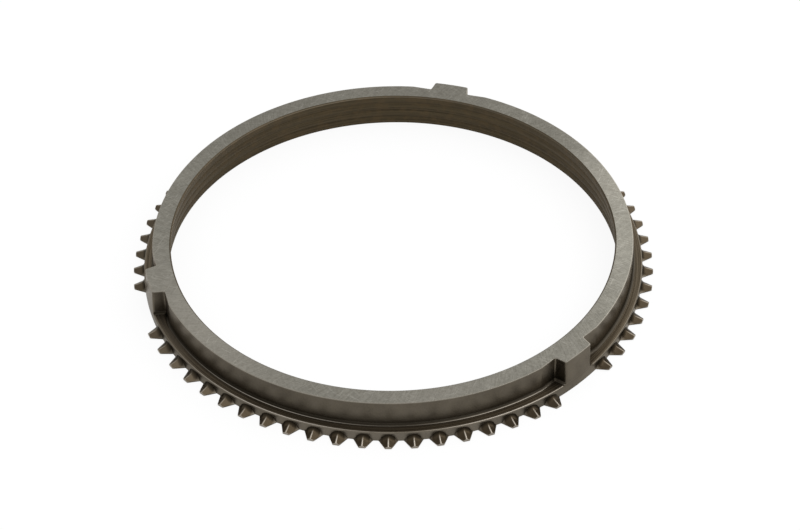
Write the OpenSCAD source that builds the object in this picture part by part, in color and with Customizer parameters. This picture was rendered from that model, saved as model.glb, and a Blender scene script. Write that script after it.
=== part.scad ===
// Synchronizer ring of a heavy gearbox: one forged and machined steel ring.
// Its tapered bore grips the cone of a gear, its pointed dog teeth meet the sliding sleeve,
// and its lugs turn it with the hub.
// The origin is on the ring's axis in the flat underside, and +Z points to the face of the lugs.
// One lug points along +Y.

/* [Wall] */
// Outside diameter of the wall above the flange
wall_d = 185; // [182:0.5:188]
// Height of the ring
ring_h = 15.2; // [12:0.1:20]
// Edge break round the top of the wall
wall_break = 0.2; // [0.1:0.05:0.5]

/* [Friction cone] */
// Diameter of the tapered bore at the underside
cone_d = 174.8; // [172:0.2:177]
// Angle between the bore's wall and the axis, in degrees
cone_angle = 7.5; // [5:0.1:9]
// Chamfer at the narrow end of the bore
cone_break = 0.5; // [0.2:0.1:1]
// Number of oil grooves round the bore
groove_count = 3; // [1:1:5]
// Width of an oil groove at its mouth
groove_w = 0.9; // [0.4:0.1:1.4]
// Depth of an oil groove
groove_depth = 0.15; // [0.05:0.05:0.6]

/* [Flange] */
// Outside diameter of the flange, which is the root circle of the teeth
flange_d = 193; // [191.5:0.5:196]
// Height of the flange
flange_h = 4.25; // [3.6:0.05:6]
// Edge break round the top of the flange
flange_break = 0.5; // [0.1:0.05:0.8]
// Radius of the fillet where the wall stands on the flange
foot_fillet = 1.2; // [0.3:0.1:1.5]

/* [Lugs] */
// Number of lugs round the ring
lug_count = 3; // [2:1:3]
// Width of a lug where it leaves the wall
lug_w = 15.25; // [12:0.25:18]
// Slope of a lug's flanks towards its centre line, in degrees
lug_taper = 10.5; // [4:0.5:14]
// Diameter over the lugs at the top face
lug_d = 192; // [190:0.25:193]
// Lean of a lug's outer face towards the axis, in degrees
lug_draft = 2.3; // [0.5:0.1:3]
// Radius on the upright outer corners of a lug
lug_corner = 0.8; // [0.3:0.1:1.5]
// Depth of the flats milled into the wall beside each lug
flat_depth = 1.25; // [0.6:0.05:2]
// Radius left by the cutter between a flat and a lug's flank
flat_fillet = 0.7; // [0.3:0.1:1.2]
// Bevel left by the cutter at the foot of the flats and of the lugs' flanks
flat_bevel = 0.8; // [0.2:0.05:1.2]

/* [Dog teeth] */
// Teeth between one lug and the next
teeth_between = 20; // [14:1:24]
// Tooth places left empty at each lug
teeth_left_out = 2; // [2:1:4]
// Diameter over the tips of the teeth
tip_d = 201.4; // [199:0.2:204]
// Width of a tooth at its tip
tip_w = 2.35; // [1.6:0.05:3]
// Slope of a tooth's flanks towards its centre line, in degrees
flank_angle = 29.5; // [20:0.5:34]
// Height of the ridge where a tooth leaves the flange
ridge_root_h = 2.6; // [2.2:0.05:3.2]
// Height of the ridge at the tip of a tooth
ridge_tip_h = 1.35; // [1:0.05:1.8]
// Width of the blunt land along the ridge
ridge_land = 0.35; // [0.1:0.05:0.8]
// Angle between the two sloping faces of a tooth, in degrees
roof_angle = 114; // [104:1:126]

/* [Hidden] */

// Overlap that joins one form to the next inside the metal
weld = 1;
// Least metal between the mouth of the bore and the outside of the wall
least_wall = 2.5;
// Short flats that round one corner of a lug
corner_flats = 3;
// Roundness of every arc
$fn = 180;

// Radii from the bore outwards: a bore too wide for the wall moves it out, with all that stands outside it
cone_r = cone_d / 2;
wall_shift = max(0, cone_r + least_wall - wall_d / 2);
wall_r = wall_d / 2 + wall_shift;
lug_r = lug_d / 2 + wall_shift;
flange_r = flange_d / 2 + wall_shift;
tip_r = tip_d / 2 + wall_shift;

// Bore
cone_top = ring_h - cone_break;
groove_pitch = ring_h / (groove_count + 1);

// Flats beside the lugs
flat_r = wall_r - flat_depth;

// Lugs: distance of a flank's plane from the axis, and the direction of a corner arc's centre
lug_half_w = lug_w / 2;
lug_root = flange_h - flange_break;
lug_h = ring_h - lug_root;
flank_d = lug_half_w * cos(lug_taper) + flat_r * sin(lug_taper);
corner_r = lug_r - lug_corner;
corner_dir = 90 - lug_taper - acos((flank_d - lug_corner) / corner_r);

// Teeth
tooth_pitch = 360 / (lug_count * (teeth_between + teeth_left_out));
first_tooth = tooth_pitch * (teeth_left_out + 1) / 2;
tooth_len = tip_r - flange_r;
ridge_fall = atan((ridge_root_h - ridge_tip_h) / tooth_len);

// Radius of the tapered bore at a height
function bore_r(z) = cone_r - z * tan(cone_angle);

// Half width of a lug at a distance from the axis
function lug_half_w_at(r) = lug_half_w - (r - flat_r) * tan(lug_taper);

// Half width of a tooth at a distance from the axis
function tooth_half_w_at(r) = tip_w / 2 + (tip_r - r) * tan(flank_angle);

// Half section of the plain ring, with the oil grooves in its bore
module ring_section() {
    oil_grooves = [
        for (i = [1:groove_count])
            let (z = i * groove_pitch, half_w = groove_w / 2)
                each [
                    [bore_r(z - half_w), z - half_w],
                    [bore_r(z) + groove_depth, z],
                    [bore_r(z + half_w), z + half_w],
                ]
    ];
    polygon(concat(
        [[flange_r, 0], [bore_r(0), 0]],
        oil_grooves,
        [
            [bore_r(cone_top), cone_top],
            [bore_r(cone_top) + cone_break, ring_h],
            [wall_r - wall_break, ring_h],
            [wall_r, ring_h - wall_break],
            [wall_r, flange_h],
            [flange_r - flange_break, flange_h],
            [flange_r, flange_h - flange_break],
        ]
    ));
    translate([wall_r, flange_h])
        difference() {
            translate([-weld, -weld]) square(foot_fillet + weld);
            translate([foot_fillet, foot_fillet]) circle(foot_fillet);
        }
}

// What the cutter takes off the wall on both sides of a lug along +X, with a bevel left at its foot
module flat_cut() {
    translate([flat_r, wall_r, flange_h])
        rotate([90, 0, 0])
            linear_extrude(2 * wall_r)
                polygon([
                    [0, ring_h], [0, flat_bevel], [flat_bevel, 0], [wall_r, 0], [wall_r, ring_h],
                ]);
}

// Bevel at the foot of one flank of a lug, out to where the lug's corner turns
module flank_bevel() {
    translate([flat_r, lug_half_w, flange_h])
        rotate([90, 0, 90 - lug_taper])
            translate([0, 0, -weld])
                linear_extrude(corner_r - flat_r + weld)
                    polygon([
                        [-weld, flat_bevel], [0, flat_bevel], [flat_bevel, 0],
                        [flat_bevel, -weld], [-weld, -weld],
                    ]);
}

// Lug with upright flanks in plan, with the cutter's radius between each flank and its flat
module lug_flanks_plan() {
    reach = flange_r + weld;
    arc_y = lug_half_w + flat_fillet * (1 / cos(lug_taper) - tan(lug_taper));
    touch_x = flat_r + flat_fillet * (1 - sin(lug_taper));
    polygon([
        [flat_r - weld, -lug_half_w], [flat_r, -lug_half_w], [reach, -lug_half_w_at(reach)],
        [reach, lug_half_w_at(reach)], [flat_r, lug_half_w], [flat_r - weld, lug_half_w],
    ]);
    for (side = [0, 1])
        mirror([0, side])
            difference() {
                polygon([
                    [flat_r - weld, lug_half_w - weld], [touch_x, lug_half_w - weld],
                    [touch_x, lug_half_w_at(touch_x)], [flat_r + flat_fillet, arc_y],
                    [flat_r, arc_y], [flat_r - weld, arc_y],
                ]);
                translate([flat_r + flat_fillet, arc_y]) circle(flat_fillet);
            }
}

// Outer end of a lug in plan: an arc about the ring's axis, with a round of short flats at each corner
module lug_nose_plan() {
    turn = (90 - lug_taper - corner_dir) / corner_flats;
    round_r = lug_corner / cos(turn / 2);
    corner_x = corner_r * cos(corner_dir);
    corner_y = corner_r * sin(corner_dir);
    corner = [
        for (k = [0:corner_flats])
            let (a = corner_dir + k * turn)
                [corner_x + round_r * cos(a), corner_y + round_r * sin(a)]
    ];
    half = concat([[lug_r + weld, corner_y]], corner, [[corner_x, lug_w], [0, lug_w]]);
    other_half = [for (i = [len(half) - 1:-1:0]) [half[i][0], -half[i][1]]];
    intersection() {
        circle(lug_r);
        polygon(concat(half, other_half));
    }
}

// One lug along +X: upright flanks, and an outer face that leans in towards the top
module lug() {
    intersection() {
        translate([0, 0, lug_root]) linear_extrude(lug_h) lug_flanks_plan();
        translate([lug_r, 0, ring_h])
            rotate([0, -lug_draft, 0])
                translate([-lug_r, 0, -2 * ring_h])
                    linear_extrude(4 * ring_h) lug_nose_plan();
    }
    for (side = [0, 1])
        mirror([0, side, 0]) flank_bevel();
}

// One dog tooth along +X: a tapered block under two sloping faces that meet in a falling ridge
module dog_tooth() {
    root = flange_r - weld;
    roof_half_w = ridge_land / 2 + flange_h * tan(roof_angle / 2);
    intersection() {
        linear_extrude(flange_h)
            polygon([
                [root, -tooth_half_w_at(root)], [tip_r, -tip_w / 2],
                [tip_r, tip_w / 2], [root, tooth_half_w_at(root)],
            ]);
        translate([flange_r, 0, ridge_root_h])
            rotate([0, 90 + ridge_fall, 0])
                translate([0, 0, -2 * weld])
                    linear_extrude(tooth_len + 4 * weld)
                        polygon([
                            [0, -ridge_land / 2], [0, ridge_land / 2],
                            [flange_h, roof_half_w], [flange_h, -roof_half_w],
                        ]);
    }
}

// The whole ring as one piece of steel
module synchronizer_ring() {
    color([0.36, 0.33, 0.28]) {
        difference() {
            rotate_extrude() ring_section();
            for (i = [0:lug_count - 1])
                rotate(90 + i * 360 / lug_count) flat_cut();
        }
        for (i = [0:lug_count - 1])
            rotate(90 + i * 360 / lug_count) {
                lug();
                for (k = [0:teeth_between - 1])
                    rotate(first_tooth + k * tooth_pitch) dog_tooth();
            }
    }
}

synchronizer_ring();
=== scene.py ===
# %% [markdown]
# # A synchronizer ring on a pale floor
# The ring is one piece of steel from a heavy gearbox. A tapered bore grips the cone of a gear, a row of
# pointed dog teeth meets the sliding sleeve, and lugs on the wall turn the ring with its hub. The part's
# own frame comes first, so that everything below stands where the solid is.

# %% Load the part
import math

import bmesh
import bpy
from mathutils import Matrix, Vector


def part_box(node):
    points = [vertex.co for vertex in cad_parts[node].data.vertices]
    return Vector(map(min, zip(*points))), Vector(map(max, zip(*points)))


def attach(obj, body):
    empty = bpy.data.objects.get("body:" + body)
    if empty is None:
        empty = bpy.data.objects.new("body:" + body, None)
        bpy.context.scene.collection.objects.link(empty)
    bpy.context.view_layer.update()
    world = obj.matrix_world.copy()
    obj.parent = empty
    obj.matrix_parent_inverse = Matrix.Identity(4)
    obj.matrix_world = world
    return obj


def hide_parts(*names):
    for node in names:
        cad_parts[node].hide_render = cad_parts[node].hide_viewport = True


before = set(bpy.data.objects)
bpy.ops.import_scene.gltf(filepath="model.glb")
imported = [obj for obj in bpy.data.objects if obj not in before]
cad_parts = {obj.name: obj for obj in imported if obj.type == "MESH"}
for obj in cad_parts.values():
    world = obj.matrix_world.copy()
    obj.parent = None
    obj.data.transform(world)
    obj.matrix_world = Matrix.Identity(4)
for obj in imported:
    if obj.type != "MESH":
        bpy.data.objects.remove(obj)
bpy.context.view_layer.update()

MM = 0.001
low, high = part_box("synchronizer_ring")
print("solid:", [round(side / MM, 2) for side in Vector(high) - Vector(low)], "mm")

# %% [markdown]
# ## Sizes of the ring
# Lengths are in millimetres, as on a workshop drawing, and become metres only when the mesh is made. The
# height and the reach of the teeth are read from the solid, so that the dressed ring can't outgrow it.
# The other sizes follow the drawing, with the edges a little softer, as on a ring that has been tumbled
# and handled.

# %% Sizes of the ring
ring_h = high[2] / MM
tip_r = high[0] / MM
wall_r = 92.5
wall_break = 0.25
flange_r = 96.5
flange_h = 4.25
flange_break = 0.5
foot_fillet = 1.2
edge_break = 0.15
print("ring", round(ring_h, 2), "mm high,", round(2 * tip_r, 1), "mm over the teeth")

# %% [markdown]
# ## Stretches of painted light and shade
# The light doesn't fall evenly round the ring. So painted highlights on the edges, teeth, ledge and top face
# are strong along a few stretches and faint between them, and painted shade lies deep in one place and
# thin in another. That could be painted on an image, but the image would need an unwrapped skin. Here a
# stretch is a direction, a half width in degrees and a strength, which fades smoothly from its middle,
# as a bell curve does, so it can be moved or weakened by changing one number.

# %% Stretches round the ring
# Stretches of painted highlight on the edges, teeth, top face and ledge, of painted shade on the top face,
# wall, corners, ledge and rim, and of less painted shade on the wall and teeth where more light falls
stretches = {
    "edge_wear_and_highlight": ((257, 20, 1.0), (311, 17, 0.8)),
    "tooth_wear_and_highlight": ((290, 42, 1.0),),
    "face_highlight": ((231, 22, 0.2), (295, 12, 0.09), (35, 10, 0.05)),
    "face_shade": ((57, 16, 0.28), (85, 30, 0.15), (135, 30, 0.13), (343, 16, 0.1)),
    "wall_shade": ((254, 20, 0.17),),
    "lit_wall": ((330, 45, 0.8),),
    "corner_shade_strength": ((323, 6, 0.8),),
    "ledge_light": ((222, 12, 0.08),),
    "ledge_shade": ((12, 14, 0.24), (285, 28, 0.24)),
    "rim_shade": ((218, 22, 0.4), (319, 8, 0.32)),
    "lit_teeth": ((187, 26, 0.3), (228, 20, 0.3), (30, 12, 0.18)),
}
# Strength that is left outside the stretches
least = {"edge_wear_and_highlight": 0.06, "tooth_wear_and_highlight": 0.3, "corner_shade_strength": 0.45}


def finish_at(angle):
    found = {}
    for name, places in stretches.items():
        found[name] = least.get(name, 0.0)
        for direction, half_width, strength in places:
            away = math.remainder(angle - math.radians(direction), math.tau) / math.radians(half_width)
            found[name] = max(found[name], strength * math.exp(-away ** 2))
    return found


# The edges' wear and painted highlight at the front
print("wear of the edges at the front:", round(finish_at(math.radians(285))["edge_wear_and_highlight"], 2))

# %% [markdown]
# ## The friction bore
# The bore is turned to a taper, and its three grooves let the oil out so that the cone can grip. It could
# be cut out of a block with booleans, but a turned shape only needs one half section that is swept round
# the axis, as on the lathe. So the bore is a list of points from the underside up to the top face. Each
# point also carries marks for its finish: how far it is bore, ground face or ledge, how much wear and
# painted highlight it has, how much painted shade and oil, and how brown it is.

# %% Half section of the bore
cone_r = 87.4
cone_slope = math.tan(math.radians(7.5))
cone_break = 0.5
groove_count = 3
groove_w = 0.9
groove_depth = 0.15
groove_pitch = ring_h / (groove_count + 1)
# Across a groove: the place in widths from its middle, and the share of its depth
groove_shape = ((-0.5, 0), (-0.2, 0.75), (0, 1), (0.2, 0.75), (0.5, 0))
# Painted shade in the grooves, by the share of their depth
groove_shade = 0.12
chamfer_worn = 0.1
mouth_oil = 0.3
# Width in which one finish gives way to the next beside an edge
finish_gap = 0.1
# What a point says of its finish, in the order in which it is stored
marks = ("bore", "ground", "ledge", "worn", "oily", "brown")


def bore_radius(z):
    return cone_r - z * cone_slope


def point(r, z, **finish_marks):
    return (r, z, *(finish_marks.get(mark, 0.0) for mark in marks))


# The ground top face gets painted highlight and painted shade by its direction round the ring
def top_face_point(r, finish):
    return point(r, ring_h, ground=1, worn=finish["face_highlight"], oily=finish["face_shade"])


def bore_points(finish):
    found = [
        point(bore_radius(0) + edge_break, 0.0),
        point(bore_radius(edge_break), edge_break, bore=1),
    ]
    for index in range(groove_count):
        middle = (index + 1) * groove_pitch
        for step, depth in groove_shape:
            z = middle + step * groove_w
            found.append(point(bore_radius(z) + depth * groove_depth, z, bore=1, oily=groove_shade * depth))
    chamfer_z = ring_h - cone_break
    chamfer_r = bore_radius(chamfer_z)
    mouth_r = chamfer_r + cone_break
    found.append(point(bore_radius(chamfer_z - finish_gap), chamfer_z - finish_gap, bore=1))
    found.append(point(chamfer_r, chamfer_z, bore=1, worn=chamfer_worn))
    found.append(point(mouth_r, ring_h, bore=1, oily=mouth_oil))
    found.append(top_face_point(mouth_r + finish_gap, finish))
    return found


print("bore:", len(bore_points(finish_at(0))), "points in its half section")

# %% [markdown]
# ## The wall, its lugs and its flats
# Three lugs stand on the wall, and a cutter has milled a flat on each side of every lug. Seen from above,
# that outline is a row of simple curves: the lug's nose, its round corner, its straight flank, the
# cutter's round, the flat and the wall. A boolean would leave ragged triangles there, so first the curves
# are worked out at a height. Moved out a little, the same curves also give the round at the wall's foot.

# %% Curves of a lug
lug_count = 3
lug_r = 96.0
lug_half_w = 7.625
lug_corner = 0.8
lug_lean = math.tan(math.radians(2.3))
taper = math.radians(10.5)
flat_depth = 1.25
flat_r = wall_r - flat_depth
flat_fillet = 0.7
flank_d = lug_half_w * math.cos(taper) + flat_r * math.sin(taper)
# Least radii that the rounds keep when the outline moves, and the nose's distance from the rim
least_corner = 0.1
least_cutter = 0.08
nose_gap = 0.02


def lug_parts(z, out):
    nose = min(lug_r + (ring_h - z) * lug_lean, flange_r - nose_gap) + min(out, 0)
    flank_line = flank_d + out
    corner = max(lug_corner + min(out, 0), least_corner)
    centre_r = nose - corner
    centre_a = math.pi / 2 - taper - math.acos((flank_line - corner) / centre_r)
    normal = Vector((math.sin(taper), math.cos(taper)))
    centre = Vector((math.cos(centre_a), math.sin(centre_a))) * centre_r
    corner_end = centre + normal * corner
    cutter = max(flat_fillet - out, least_cutter)
    cut_x = flat_r + out + cutter
    cut = Vector((cut_x, (flank_line + cutter - cut_x * math.sin(taper)) / math.cos(taper)))
    cut_start = cut - normal * cutter
    return {
        "nose": nose,
        "corner": corner, "corner_centre_r": centre_r, "corner_centre_a": centre_a,
        "corner_end_a": math.atan2(corner_end.y, corner_end.x),
        "flank_line": flank_line,
        "cut_start_a": math.atan2(cut_start.y, cut_start.x),
        "cutter": cutter, "cut_centre_r": cut.length, "cut_centre_a": math.atan2(cut.y, cut.x),
        "flat_a": math.atan2(cut.y, flat_r + out),
    }


print("lug's nose:", round(lug_parts(flange_h, 0)["nose"], 2), "mm from the axis at its foot")

# %% [markdown]
# The outline is then one radius for each direction: the curve that lies in that direction is picked, and
# the distance to it from the axis is plain trigonometry.

# %% Outline of the wall
# Sides of a small circle on which a line from the axis can meet it
far_side = 1
near_side = -1


def arc_distance(centre_r, turn, arc_r, side):
    half_chord = math.sqrt(max(arc_r ** 2 - (centre_r * math.sin(turn)) ** 2, 0))
    return centre_r * math.cos(turn) + side * half_chord


def outline_radius(angle, z, out):
    away = abs(angle)
    lug = lug_parts(z, out)
    if away <= lug["corner_centre_a"]:
        return lug["nose"]
    if away <= lug["corner_end_a"]:
        return arc_distance(lug["corner_centre_r"], away - lug["corner_centre_a"], lug["corner"], far_side)
    if away <= lug["cut_start_a"]:
        return lug["flank_line"] / math.sin(away + taper)
    if away <= lug["flat_a"]:
        return arc_distance(lug["cut_centre_r"], away - lug["cut_centre_a"], lug["cutter"], near_side)
    return min((flat_r + out) / math.cos(away), wall_r + out)


flat_end = math.acos(flat_r / wall_r)
print("flat ends", round(math.degrees(flat_end), 2), "degrees from its lug")

# %% [markdown]
# ## The dog teeth
# Each tooth is a tapered block under two sloping faces that meet in a ridge, so that the sleeve is
# steered to one side. In plan its end is a straight tip between two straight flanks. Copies of one
# modelled tooth would have to be joined to the rim, so the teeth are a part of the sweep too. A soft
# maximum rounds the place where a flank leaves the rim, a soft absolute value rounds the ridge, and the
# roof rises in a small arch where it meets the rim.

# %% Shape of a tooth
teeth_between = 20
teeth_left_out = 2
pitch = math.tau / (lug_count * (teeth_between + teeth_left_out))
tooth_len = tip_r - flange_r
tip_half_w = 1.175
# Directions past this one, in radians, belong to a flank and not to the tip
tip_turn = 0.03
flank = math.radians(29.5)
flank_reach = tip_r * math.sin(flank) + tip_half_w * math.cos(flank)
ridge_root_h = 2.6
ridge_tip_h = 1.35
ridge_fall = (ridge_root_h - ridge_tip_h) / tooth_len
roof_slope = 1 / math.tan(math.radians(57))
lowest_eave = 0.25
arch_len = 1.5
arch_h = 2.87
arch_half_w = 2.9
arch_foot = 0.4
ridge_round = 0.16
root_round = 0.16
tip_round = 0.06


def soft_max(a, b, width):
    return 0.5 * (a + b + math.sqrt((a - b) ** 2 + width ** 2))


def tooth_reach(angle):
    away = abs(angle)
    side = flank_reach / math.sin(away + flank)
    tip = tip_r / math.cos(min(away, tip_turn))
    end = -soft_max(-side, -tip, tip_round)
    return min(flange_r + soft_max(end - flange_r, 0, root_round), tip_r)


def arch_share(r):
    return max(1 - (r - flange_r) / arch_len, 0)


def roof_height(r, angle):
    across = r * math.sin(angle)
    ridge = ridge_root_h - ridge_fall * (r - flange_r)
    fall = roof_slope * (math.sqrt(across ** 2 + ridge_round ** 2) - ridge_round)
    share = min(abs(across) / arch_half_w, 1)
    arch = arch_foot + arch_h * math.sqrt(1 - share ** 2)
    rise = max(arch - (ridge_root_h - fall), 0)
    return max(ridge - fall + rise * arch_share(r) ** 2, lowest_eave)


print("teeth:", lug_count * teeth_between, "with a pitch of", round(math.degrees(pitch), 3), "degrees")

# %% [markdown]
# ## Down the wall
# The outside is swept too, but its half section changes with the direction, because of the lugs. It
# begins at the top edge, which is ground with the face and carries a faint painted highlight. Below it
# the turned wall is dark and plain, with painted shade low down and on the left front, and less of it on
# the right, where more light falls. The nose of a lug gets no painted shade.

# %% Half section of the wall
# Over the top edge: steps in and down in edge breaks, then how far it is ground, and its painted highlight
top_edge = ((1, 0, 0.8, 0.22), (0.29, 0.29, 0.5, 0.22), (0, 1, 0.1, 0.1))
edge_margin = 0.15
# Distances of the wall's points below the top face
wall_drops = (wall_break + edge_margin, 1.1, 4.4, 7.1)
# Painted shade low on the wall
low_wall_shade = 0.15


def off_nose(lug_angle):
    return 0 if abs(lug_angle) < lug_parts(flange_h, 0)["corner_end_a"] else 1


def wall_points(lug_angle, finish):
    found = [top_face_point(outline_radius(lug_angle, ring_h, -wall_break - edge_margin), finish)]
    for back_off, drop, ground, worn in top_edge:
        z = ring_h - drop * wall_break
        r = outline_radius(lug_angle, z, -back_off * wall_break)
        found.append(point(r, z, ground=ground, worn=worn))
    for drop in wall_drops:
        z = ring_h - drop
        oily = finish["wall_shade"]
        if drop == wall_drops[-1]:
            oily = max(oily, low_wall_shade * (1 - finish["lit_wall"]))
        found.append(point(outline_radius(lug_angle, z, 0), z, oily=oily * off_nose(lug_angle)))
    return found


print("wall:", len(wall_points(0, finish_at(0))), "points in its half section")

# %% [markdown]
# ## The round at the wall's foot
# The corner between the wall and the ledge is darkened with painted shade, darkest beside the lugs, and
# one fine line along it carries a painted highlight. An image would blur a line so fine. The points stand
# close together there, and each carries its own share of painted shade and highlight, so the mesh itself
# draws the dark corner and its line.

# %% Half section of the foot
# Painted shade on the round, by its turn in degrees, and the turn that carries the painted highlight
foot_shade = {0: 0.5, 25: 0.92, 45: 0.97, 57: 0.93, 66: 0.8, 75: 0.7, 90: 0.5}
highlight_turn = 66
ledge_turn = 90
rubbed_worn = 0.65
lit_wall_share = 0.4
foot_margin = 0.12
corner_fade = 1.2
inner_ledge_shade = 0.8


# Painted shade beside a lug: deepest along the flank, fading out along the flat
def corner_shade(lug_angle, z, out, finish):
    away = abs(lug_angle)
    lug = lug_parts(z, out)
    if away < lug["corner_end_a"] or away > flat_end:
        return 0
    depth = min((flat_end - away) / (flat_end - lug["flat_a"]), 1) ** corner_fade
    return finish["corner_shade_strength"] * depth


def foot_points(lug_angle, finish):
    wear_and_glint = finish["edge_wear_and_highlight"]
    shown = off_nose(lug_angle)
    found = []
    for degrees, oil in foot_shade.items():
        turn = math.radians(degrees)
        z = flange_h + foot_fillet * (1 - math.sin(turn))
        out = foot_fillet * (1 - math.cos(turn))
        shade = corner_shade(lug_angle, z, out, finish)
        at_highlight = degrees == highlight_turn
        worn = rubbed_worn * wear_and_glint * (1 - shade) if at_highlight else 0
        oily = oil * (1 - wear_and_glint) if at_highlight else oil * (1 - lit_wall_share * finish["lit_wall"])
        found.append(point(outline_radius(lug_angle, z, out), z, worn=worn, oily=max(oily, shade) * shown,
                           ledge=shown if degrees == ledge_turn else 0))
    out = foot_fillet + foot_margin
    shade = corner_shade(lug_angle, flange_h, out, finish)
    found.append(point(outline_radius(lug_angle, flange_h, out), flange_h, ledge=shown,
                       worn=finish["ledge_light"] * shown,
                       oily=max(inner_ledge_shade * shade, finish["ledge_shade"]) * shown))
    return found


print("foot:", len(foot_points(0, finish_at(0))), "points in its half section")

# %% [markdown]
# ## The ledge of the flange and its rim
# The top of the flange shows as a narrow turned ledge, and its edge carries a painted highlight. The nose
# of a lug reaches almost to the rim. So the ledge's points close up there, and their finish and painted
# light fade with the room that is left for it.

# %% Half section of the flange
# Width at which the ledge shows its full finish
full_ledge = 0.3
# Painted shade on the outer part of the ledge
outer_ledge_shade = 0.6
outer_ledge_shade_share = 0.5
# Wear and painted highlight on the rim's round edge, by its turn in degrees
rim_edge_worn = {0: 1.0, 26: 0.85, 44: 0.1}
rim_top = flange_h - flange_break
rim_margin = 0.12
# A faint painted sheen on the rim face
rim_worn = 0.1


def flange_points(start_r, lug_angle, finish):
    edge_r = flange_r - flange_break
    shown = min(max((edge_r - start_r) / full_ledge, 0), 1)
    shade = corner_shade(lug_angle, flange_h, foot_fillet + foot_margin, finish)
    ledge_r = max(edge_r - finish_gap, start_r)
    found = [point(ledge_r, flange_h, ledge=shown, worn=finish["ledge_light"] * shown,
                   oily=max(outer_ledge_shade * shade, outer_ledge_shade_share * finish["ledge_shade"] * shown))]
    for degrees, worn in rim_edge_worn.items():
        turn = math.radians(degrees)
        r = max(edge_r + flange_break * math.sin(turn), start_r)
        z = flange_h - flange_break * (1 - math.cos(turn))
        found.append(point(r, z, worn=worn * shown * finish["edge_wear_and_highlight"],
                           ledge=shown if degrees == 0 else 0))
    for z in (rim_top, rim_top - rim_margin):
        found.append(point(flange_r, z, worn=rim_worn * shown * finish["tooth_wear_and_highlight"],
                           oily=finish["rim_shade"] * shown))
    return found


print("flange:", len(flange_points(wall_r, math.pi / lug_count, finish_at(0))), "points in its half section")

# %% [markdown]
# ## Out along a tooth
# From the rim a row of points runs out along the tooth's roof to its end and back under it. They stand
# closest at the root, where the roof arches and is darkened with painted shade. The ridge and the tip rub
# on the sleeve and are worn, and they carry painted highlights too. Between two teeth the row has no
# length, so its points fall together and are merged later.

# %% Half section of a tooth
# Places along the roof as shares of the tooth's length
tooth_steps = (0, 0.04, 0.09, 0.15, 0.22, 0.3, 0.38, 0.6, 0.97, 1)
ridge_half_w = 0.2
tip_share = 0.95
arch_margin = 0.2
arch_gap = 0.16
# Where the wear and painted highlight on a ridge start, and the length in which they grow to full
ridge_glint_start = 0.8
ridge_glint_len = 1.2
# Wear and painted highlight on a tip
tip_worn = {"roof": 0.7, "end": 0.5, "foot": 0.3}
# Painted shade on the roof near the root; teeth in more light get less of it, and less brown
roof_shade = 0.6
lit_brown_loss = 1.5
eave_drop = 0.1
least_end = 0.02


def tooth_points(tooth_angle, finish):
    wear_and_glint = finish["tooth_wear_and_highlight"]
    lit_roof = finish["lit_teeth"]
    reach = tooth_reach(tooth_angle)
    length = reach - flange_r
    across = abs(tooth_angle) * flange_r
    on_ridge = 1 if across < ridge_half_w else 0
    at_tip = 1 if length > tip_share * tooth_len else 0
    at_root = 1 if across < arch_half_w else 0
    plain_worn = rim_worn * (1 - at_root)
    rim_shade = finish["rim_shade"] * (1 - at_root)
    arch_top = min(roof_height(flange_r, tooth_angle) + arch_margin, rim_top - arch_gap)
    found = [point(flange_r, arch_top, worn=wear_and_glint * plain_worn, oily=rim_shade)]
    for step in tooth_steps:
        r = flange_r + step * length
        ridge_wear_and_glint = on_ridge * min(max((r - flange_r - ridge_glint_start) / ridge_glint_len, 0), 1)
        end_worn = tip_worn["roof"] * at_tip if step == 1 else 0
        oily = max(arch_share(r) ** 0.5, roof_shade - lit_roof) * at_root * (1 - ridge_wear_and_glint)
        found.append(point(r, roof_height(r, tooth_angle), worn=wear_and_glint * max(ridge_wear_and_glint, end_worn, plain_worn),
                           oily=max(oily, rim_shade), brown=at_root * (1 - lit_brown_loss * lit_roof)))
    eave = max(roof_height(reach, tooth_angle) - eave_drop, edge_break + least_end)
    found.append(point(reach, eave, worn=tip_worn["end"] * at_tip, oily=rim_shade))
    found.append(point(reach, edge_break, worn=tip_worn["foot"] * at_tip, oily=rim_shade))
    found.append(point(reach - edge_break, 0.0))
    return found


def half_section(angle, lug_angle, tooth_angle):
    finish = finish_at(angle)
    outside = wall_points(lug_angle, finish) + foot_points(lug_angle, finish)
    ledge = flange_points(outside[-1][0], lug_angle, finish)
    return bore_points(finish) + outside + ledge + tooth_points(tooth_angle, finish)


print("whole half section:", len(half_section(0, math.pi / lug_count, 0)), "points")

# %% [markdown]
# ## Directions of the half sections
# Even steps round the ring would miss the ridges and corners, or need far too many triangles. So a
# section stands wherever the outline turns: at each side of a ridge, at the corners of a tip, at a root
# and through the rounds of a lug. Plain stretches get few, and the mesh is fine where the eye looks and
# light elsewhere.

# %% Directions round the ring
first_tooth = pitch * (teeth_left_out + 1) / 2
third_turn = math.tau / lug_count
# Degrees from a ridge: beside it, down the slope, at the tip's corner, along the flank and round the root
half_tooth = (0, 0.07, 0.17, 0.4, 0.62, 0.72, 1.0, 1.4, 1.8, 2.02, 2.16, 2.4)
nose_shares = (0, 0.33, 0.66)
lug_step = math.radians(0.08)
past_cutter = math.radians(0.7)
# Steps in radians from the end of a flat
flat_end_steps = (-0.002, 0.002, 0.02)
closest = math.radians(0.02)


def directions_of_a_third():
    found = []
    for tooth in range(teeth_between):
        middle = first_tooth + tooth * pitch
        found.append(middle + pitch / 2)
        for degrees in half_tooth:
            away = math.radians(degrees)
            found.extend({middle - away, middle + away})
    lug = lug_parts(ring_h / 2, 0)
    nose_end = lug["corner_centre_a"] - 2 * lug_step
    flat_start = lug["flat_a"] + past_cutter
    steps = math.ceil((flat_start - nose_end) / lug_step)
    near_lug = [nose_end * share for share in nose_shares]
    near_lug += [nose_end + (flat_start - nose_end) * k / steps for k in range(steps + 1)]
    near_lug += [flat_end + step for step in flat_end_steps]
    for away in near_lug:
        found.extend({away, third_turn - away})
    return sorted(found)


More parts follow.
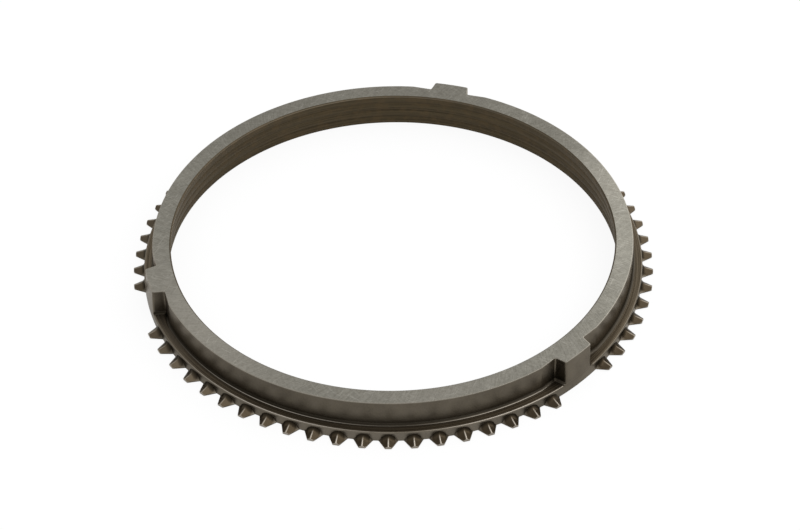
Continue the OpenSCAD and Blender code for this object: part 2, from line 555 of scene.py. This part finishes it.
def well_spaced(angles):
    found = [angles[0]]
    for angle in angles[1:]:
        if angle - found[-1] > closest:
            found.append(angle)
    if third_turn - found[-1] < closest:
        found.pop()
    return found


directions = well_spaced(directions_of_a_third())
print("directions:", lug_count * len(directions))

# %% [markdown]
# ## Sweep the sections into a mesh
# A Screw modifier would sweep a single section round the axis, but here every direction has its own. So
# the sections are worked out one by one, a third of the ring at a time, and neighbours are then joined by
# quads into a closed skin.

# %% Sections of the whole ring
first_lug = math.pi / 2


def tooth_angle_at(angle):
    steps = round((angle - first_tooth) / pitch)
    steps = min(max(steps, 0), teeth_between - 1)
    return angle - first_tooth - steps * pitch


def ring_sections():
    found = []
    for lug in range(lug_count):
        for angle in directions:
            lug_angle = angle if angle < third_turn / 2 else angle - third_turn
            world_angle = first_lug + lug * third_turn + angle
            found.append((world_angle, half_section(world_angle, lug_angle, tooth_angle_at(angle))))
    return found


sections = ring_sections()
print("sections:", len(sections), "of", len(sections[0][1]), "points")

# %% [markdown]
# Points that fall together are merged. The marks for the finish stay on the points as named attributes,
# where the material can read them. Smooth shading hides the facets, and edges that turn sharply stay
# crisp.

# %% Build the ring
merge_distance = 0.002
sharp_turn = 38


def sweep(work):
    layers = [work.verts.layers.float.new(mark) for mark in marks]
    columns = []
    for angle, section in sections:
        column = []
        for r, z, *values in section:
            vert = work.verts.new((r * MM * math.cos(angle), r * MM * math.sin(angle), z * MM))
            for layer, value in zip(layers, values):
                vert[layer] = value
            column.append(vert)
        columns.append(column)
    for here, column in enumerate(columns):
        beside = columns[(here + 1) % len(columns)]
        for row in range(len(column)):
            above = (row + 1) % len(column)
            work.faces.new((column[row], beside[row], beside[above], column[above]))


def ring_mesh(name):
    work = bmesh.new()
    sweep(work)
    bmesh.ops.remove_doubles(work, verts=work.verts, dist=merge_distance * MM)
    bmesh.ops.recalc_face_normals(work, faces=work.faces)
    mesh = bpy.data.meshes.new(name)
    work.to_mesh(mesh)
    work.free()
    mesh.shade_smooth()
    mesh.set_sharp_from_angle(angle=math.radians(sharp_turn))
    return mesh


ring = bpy.data.objects.new("dressed_ring", ring_mesh("dressed_ring"))
bpy.context.scene.collection.objects.link(ring)
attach(ring, "root")
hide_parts("synchronizer_ring")
triangles = sum(len(face.vertices) - 2 for face in ring.data.polygons)
print("ring:", triangles, "triangles")

# %% [markdown]
# ## Shader sums in plain Python
# A material is a tree of small nodes, and a long sum takes many of them. One class wraps a socket so that
# sums on it read as ordinary Python, and one method makes every other kind of node from its type, its
# settings and what goes into its sockets. Colours are mixed with a Mix node, because a Math node would
# turn them grey.

# %% Wrap shader sockets
class Wire:
    def __init__(self, tree, socket=None):
        self.tree = tree
        self.socket = socket

    def node(self, kind, settings, sockets, out=0):
        made = self.tree.nodes.new(kind)
        for name, value in settings.items():
            setattr(made, name, value)
        for name, value in sockets.items():
            if isinstance(value, Wire):
                self.tree.links.new(value.socket, made.inputs[name])
            else:
                made.inputs[name].default_value = value
        return None if out is None else Wire(self.tree, made.outputs[out])

    def other_output(self, name):
        return Wire(self.tree, self.socket.node.outputs[name])

    def maths(self, operation, first, second=0.0):
        return self.node("ShaderNodeMath", {"operation": operation}, {0: first, 1: second})

    def __add__(self, other):
        return self.maths("ADD", self, other)

    def __radd__(self, other):
        return self.maths("ADD", other, self)

    def __sub__(self, other):
        return self.maths("SUBTRACT", self, other)

    def __rsub__(self, other):
        return self.maths("SUBTRACT", other, self)

    def __mul__(self, other):
        return self.maths("MULTIPLY", self, other)

    def __rmul__(self, other):
        return self.maths("MULTIPLY", other, self)

    def between(self, start, end):
        return self.node("ShaderNodeMapRange", {"interpolation_type": "SMOOTHSTEP", "clamp": True},
                         {"Value": self, "From Min": start, "From Max": end})

    # A Mix node's colours go into its sockets 6 and 7 and come out of its output 2
    def tint(self, share, first, second):
        return self.node("ShaderNodeMix", {"data_type": "RGBA", "blend_type": "MIX", "clamp_factor": True},
                         {0: share, 6: first, 7: second}, 2)


def colour(red, green, blue):
    return (red, green, blue, 1.0)


def new_material(name):
    material = bpy.data.materials.new(name)
    material.use_nodes = True
    material.node_tree.nodes.clear()
    return material, Wire(material.node_tree)


print("shader sums ready")

# %% [markdown]
# ## Marks left by the tools
# Every face shows how it was made: rings round the turned faces, streaks across the ground one, a fine
# grain from the phosphating everywhere. Photographs of metal could be wrapped round the ring, but noise
# that is stretched along the tool's path needs no unwrapping and never repeats. So each place on the ring
# is first given in millimetres, with its distance from the axis and its direction.

# %% Places on the steel
steel, steel_nodes = new_material("phosphated_steel")
place = steel_nodes.node("ShaderNodeTexCoord", {}, {}, "Object")
split = steel_nodes.node("ShaderNodeSeparateXYZ", {}, {0: place}, "X")
mm_per_m = 1 / MM
x_mm = split * mm_per_m
y_mm = split.other_output("Y") * mm_per_m
z_mm = split.other_output("Z") * mm_per_m
radius = steel_nodes.maths("SQRT", x_mm * x_mm + y_mm * y_mm)
around = steel_nodes.maths("ARCTAN2", y_mm, x_mm)


def vector(x, y, z):
    return steel_nodes.node("ShaderNodeCombineXYZ", {}, {0: x, 1: y, 2: z})


def noise(where, scale=1.0, detail=3.0, rough=0.6):
    return steel_nodes.node("ShaderNodeTexNoise", {}, {"Vector": where, "Scale": scale, "Detail": detail,
                                                      "Roughness": rough})


place_mm = vector(x_mm, y_mm, z_mm)
print("places:", len(steel_nodes.tree.nodes), "nodes so far")

# %% [markdown]
# Turning leaves rings that hardly change along the cut, so their noise is slow round the ring and quick
# across it. Grinding leaves short streaks that lean a little from the radius, in two directions. Handling
# leaves a few long straight scratches.

# %% Patterns of the tools
slow = 0.02


def turning(across, lines_per_mm):
    return noise(vector(x_mm * slow, y_mm * slow, across * lines_per_mm))


def streaks(skew, per_turn, per_mm):
    turned = around + radius * skew
    return noise(vector(steel_nodes.maths("COSINE", turned) * per_turn,
                        steel_nodes.maths("SINE", turned) * per_turn, radius * per_mm))


def scratches(degrees, length_mm, per_mm=2.2):
    lean = math.radians(degrees)
    along = x_mm * math.cos(lean) + y_mm * math.sin(lean)
    across = y_mm * math.cos(lean) - x_mm * math.sin(lean)
    return noise(vector(along * (1 / length_mm), across * per_mm, degrees), detail=1.0, rough=0.4)


turned_rings = turning(radius, lines_per_mm=4.0)
turned_lines = turning(z_mm, lines_per_mm=3.5)
grinding = streaks(skew=0.006, per_turn=150.0, per_mm=0.25)
cross_grinding = streaks(skew=-0.012, per_turn=110.0, per_mm=0.22)
mottle = noise(place_mm, scale=0.11, detail=4.0, rough=0.55)
patches = noise(place_mm, scale=0.3)
speckle = noise(place_mm, scale=1.1, detail=2.0)
grain = noise(place_mm, scale=2.6, rough=0.65)
print("patterns:", len(steel_nodes.tree.nodes), "nodes so far")

# %% [markdown]
# ## Dark steel, brown bore and earthy ledge
# Phosphating and oil leave the steel dark and a little brown. The bore has browned more, and the ledge is
# darker and browner, with its turning marks. One flat colour would look like paint, so each colour starts
# dark and is lightened in layers: a pattern, the values between which it rises, the share of the layer
# and its colour.

# %% Colours of the dark faces
tooth_brown = 0.8


def layered(base, layers):
    for pattern, start, end, share, over in layers:
        base = steel_nodes.tint(pattern.between(start, end) * share, base, over)
    return base


def mesh_mark(name):
    return steel_nodes.node("ShaderNodeAttribute", {"attribute_name": name}, {}, "Fac")


dark = layered(colour(0.078, 0.066, 0.050), (
    (mottle, 0.3, 0.7, 1.0, colour(0.113, 0.097, 0.075)),
    (patches, 0.4, 0.65, 0.5, colour(0.105, 0.090, 0.066)),
    (grain, 0.35, 0.75, 0.35, colour(0.152, 0.130, 0.098)),
))
dark = steel_nodes.tint(mesh_mark("brown") * tooth_brown, dark, colour(0.105, 0.077, 0.046))
bore_brown = layered(colour(0.048, 0.036, 0.021), (
    (turned_lines, 0.35, 0.65, 1.0, colour(0.082, 0.064, 0.038)),
    (patches, 0.45, 0.62, 0.45, colour(0.092, 0.064, 0.034)),
))
earth = layered(colour(0.050, 0.038, 0.024), (
    (turned_rings, 0.35, 0.65, 1.0, colour(0.152, 0.123, 0.086)),
))
print("dark faces:", len(steel_nodes.tree.nodes), "nodes so far")

# %% [markdown]
# ## The ground top face
# The top face was ground after the phosphating, so it is lighter and greyer. Light and dark streaks cross
# on it, with dull patches and a few bright scratches. They are layers again, with the scratches last,
# because those cut through everything else.

# %% Colour of the ground face
scratch_bright = colour(0.40, 0.385, 0.345)
# Lean of each set of scratches in degrees, and the length of a scratch
scratch_sets = ((35, 7.0), (-20, 9.0), (80, 6.0))
ground_face = layered(colour(0.165, 0.156, 0.130), (
    (grinding, 0.35, 0.65, 1.0, colour(0.222, 0.212, 0.182)),
    (speckle, 0.36, 0.64, 0.4, colour(0.275, 0.265, 0.228)),
    (cross_grinding, 0.58, 0.7, 0.45, colour(0.32, 0.307, 0.268)),
    (1 - cross_grinding, 0.58, 0.7, 0.4, colour(0.130, 0.124, 0.105)),
    (patches, 0.38, 0.62, 0.35, colour(0.160, 0.153, 0.131)),
))
ground_face = layered(ground_face, [
    (scratches(lean, length_mm), 0.67, 0.74, 0.4, scratch_bright) for lean, length_mm in scratch_sets
])
print("ground face:", len(steel_nodes.tree.nodes), "nodes so far")

# %% [markdown]
# ## Painted shade, oil, bare metal and painted highlight
# The marks on the mesh say where each finish lies. A material for each of them would meet the next in a
# hard line, so one colour is built upwards instead: dark steel, the bore, the ledge, the ground face, then
# nearly black painted shade, which also stands for oil, and on top bright bare metal for worn edges and
# painted highlights.

# %% Colour of the whole ring
shade_and_oil_black = colour(0.009, 0.007, 0.0045)
bare_metal_and_highlight = colour(0.53, 0.485, 0.42)
bare_and_highlight_share = 0.9
# Wear and painted highlight are broken up by the grain: their strength in the hollows, and what the grain
# adds
hollow_wear_and_highlight = 0.45
grain_wear_and_highlight = 0.9
is_bore = mesh_mark("bore")
is_ground = mesh_mark("ground")
is_ledge = mesh_mark("ledge")
is_oily = mesh_mark("oily")
is_worn = mesh_mark("worn") * (hollow_wear_and_highlight + grain_wear_and_highlight * grain)
base = steel_nodes.tint(is_bore, dark, bore_brown)
base = steel_nodes.tint(is_ledge, base, earth)
base = steel_nodes.tint(is_ground, base, ground_face)
base = steel_nodes.tint(is_oily, base, shade_and_oil_black)
base = steel_nodes.tint(is_worn * bare_and_highlight_share, base, bare_metal_and_highlight)
print("colour:", len(steel_nodes.tree.nodes), "nodes so far")

# %% [markdown]
# ## Gloss and relief
# Ground metal is the glossiest and the bore the dullest, so roughness is a plain value with a little more
# or less of it for each finish and pattern. The tools' marks could be carved into the mesh, but they are
# finer than its triangles. Their heights go to a Bump node, which only tilts the light.

# %% Gloss and surface of the steel
plain_rough = 0.32
ground_rough = -0.12
ledge_rough = 0.18
bore_rough = 0.24
mottle_rough = 0.06
grain_rough = 0.08
noise_middle = 0.5
roughness = (plain_rough + ground_rough * is_ground + ledge_rough * is_ledge + bore_rough * is_bore
             + mottle_rough * (mottle - noise_middle) + grain_rough * (grain - noise_middle))
turned_share = 0.6
tool_marks = (grinding * is_ground
              + (1 - is_ground) * (turned_share * turned_lines + (1 - turned_share) * grain))
mark_strength = 0.15
mark_depth = 0.02
relief = steel_nodes.node("ShaderNodeBump", {}, {
    "Strength": mark_strength, "Distance": mark_depth * MM, "Height": tool_marks})
edge_glint = colour(0.88, 0.85, 0.8)
surface = steel_nodes.node("ShaderNodeBsdfPrincipled", {}, {
    "Base Color": base, "Roughness": roughness, "Metallic": 1.0, "Normal": relief,
    "Specular Tint": edge_glint})
steel_nodes.node("ShaderNodeOutputMaterial", {}, {"Surface": surface}, None)
ring.data.materials.append(steel)
print("steel:", len(steel_nodes.tree.nodes), "nodes")

# %% [markdown]
# ## Floor and background
# The ring lies on a plain pale floor, as for a catalogue picture. More light would whiten the floor too,
# but it would bleach the steel. So the camera, and in part the reflections in the steel, see white there
# through the Light Path node. A small share of the floor's own shading stays, so that the ring keeps its
# shadow.

# %% Floor
# Half the floor's width in metres, and its distance below the ring in millimetres
floor_half = 3.0
floor_gap = 0.2
floor_white = 0.85
mirrored_share = 0.55
white_share = 0.9
floor_corners = [(-floor_half, -floor_half, 0), (floor_half, -floor_half, 0),
                 (floor_half, floor_half, 0), (-floor_half, floor_half, 0)]
floor_mesh = bpy.data.meshes.new("floor")
floor_mesh.from_pydata(floor_corners, [], [(0, 1, 2, 3)])
floor = bpy.data.objects.new("floor", floor_mesh)
floor.location.z = low[2] - floor_gap * MM
bpy.context.scene.collection.objects.link(floor)


def seen_as_white(nodes):
    camera_ray = nodes.node("ShaderNodeLightPath", {}, {}, "Is Camera Ray")
    mirrored = camera_ray.other_output("Is Glossy Ray")
    through = camera_ray.other_output("Is Transmission Ray")
    return nodes.maths("MINIMUM", camera_ray + mirrored_share * mirrored + through, 1.0)


pale, floor_nodes = new_material("pale_floor")
pale_colour = colour(floor_white, floor_white, floor_white)
matt = floor_nodes.node("ShaderNodeBsdfDiffuse", {}, {"Color": pale_colour})
white = floor_nodes.node("ShaderNodeEmission", {}, {"Color": colour(1, 1, 1), "Strength": 1.0})
both = floor_nodes.node("ShaderNodeMixShader", {}, {
    0: seen_as_white(floor_nodes) * white_share, 1: matt, 2: white})
floor_nodes.node("ShaderNodeOutputMaterial", {}, {"Surface": both}, None)
floor_mesh.materials.append(pale)
print("floor at", round(floor.location.z / MM, 2), "mm")

# %% [markdown]
# Metal is only as bright as what it mirrors. A plain white world at a strength of 1 gives the steel an
# even room to mirror, and is white behind the floor.

# %% World
world = bpy.data.worlds.new("white_studio")
bpy.context.scene.world = world
world.use_nodes = True
world.node_tree.nodes.clear()
world_nodes = Wire(world.node_tree)
plain_level = 1.0
glow = world_nodes.node("ShaderNodeBackground", {}, {"Color": colour(1, 1, 1), "Strength": plain_level})
world_nodes.node("ShaderNodeOutputWorld", {}, {"Surface": glow}, None)
print("world at a strength of", plain_level)

# %% [markdown]
# ## Lamps
# A large soft lamp stands to the right behind the ring, where the top face mirrors it on that side. A
# smaller one hangs high on the right, a little in front, and lights the slopes of the teeth. Each lamp is
# set by its turn to the right from straight behind, its height in degrees and its distance in metres.
# Small hard lamps would leave sharp glints and shadows, which a picture taken in a light tent doesn't
# have.

# %% Lamps
view_turn = math.radians(15.155)


def soft_lamp(name, turn, height, distance, width, depth, radiance):
    data = bpy.data.lights.new(name, "AREA")
    data.shape = "RECTANGLE"
    data.size = width
    data.size_y = depth
    data.energy = radiance * math.pi * width * depth
    lamp = bpy.data.objects.new(name, data)
    side = math.radians(turn) - view_turn
    lift = math.radians(height)
    level = Vector((math.sin(side), math.cos(side), 0)) * math.cos(lift)
    stand = (level + Vector((0, 0, math.sin(lift)))) * distance
    lamp.location = stand
    lamp.rotation_euler = (-stand).to_track_quat("-Z", "Y").to_euler()
    bpy.context.scene.collection.objects.link(lamp)


soft_lamp("window_lamp", turn=58, height=35, distance=1.6, width=2.6, depth=1.2, radiance=1.1)
soft_lamp("front_lamp", turn=125, height=60, distance=1.6, width=1.5, depth=1.2, radiance=1.4)

# %% [markdown]
# ## The camera
# The picture was taken from above the front, with a long lens. A camera could be dragged into place by
# eye, but then it would be hard to set again. So the view is given as a height angle, a turn about the
# upright axis, a small roll and a distance, and the lens by its focal length in pixels of the picture.

# %% Camera
image_width = 800
focal_px = 2661.754
view_height = math.radians(41.841)
view_roll = math.radians(-0.8894)
distance_in_radii = 11.1956
view_distance = distance_in_radii * wall_r * MM
# How far the ring's axis lies right of and above the picture's centre, in pixels
shift_right = -6.7158
shift_up = 1.542

back = Vector((0, -math.cos(view_height), math.sin(view_height)))
right = Vector((1, 0, 0))
up = back.cross(right)
rolled_right = right * math.cos(view_roll) + up * math.sin(view_roll)
rolled_up = up * math.cos(view_roll) - right * math.sin(view_roll)
per_px = view_distance / focal_px
camera_stand = back * view_distance - rolled_right * (shift_right * per_px) - rolled_up * (shift_up * per_px)
axes = Matrix((rolled_right, rolled_up, back)).transposed().to_4x4()
axes.translation = camera_stand

view = bpy.data.cameras.new("catalogue_view")
view.sensor_width = 36.0
view.lens = focal_px / image_width * view.sensor_width
camera = bpy.data.objects.new("catalogue_view", view)
camera.matrix_world = Matrix.Rotation(view_turn, 4, "Z") @ axes
bpy.context.scene.collection.objects.link(camera)
bpy.context.scene.camera = camera
bpy.context.scene.view_settings.view_transform = "Standard"
print("lens", round(view.lens, 1), "mm at", round(view_distance, 3), "m")
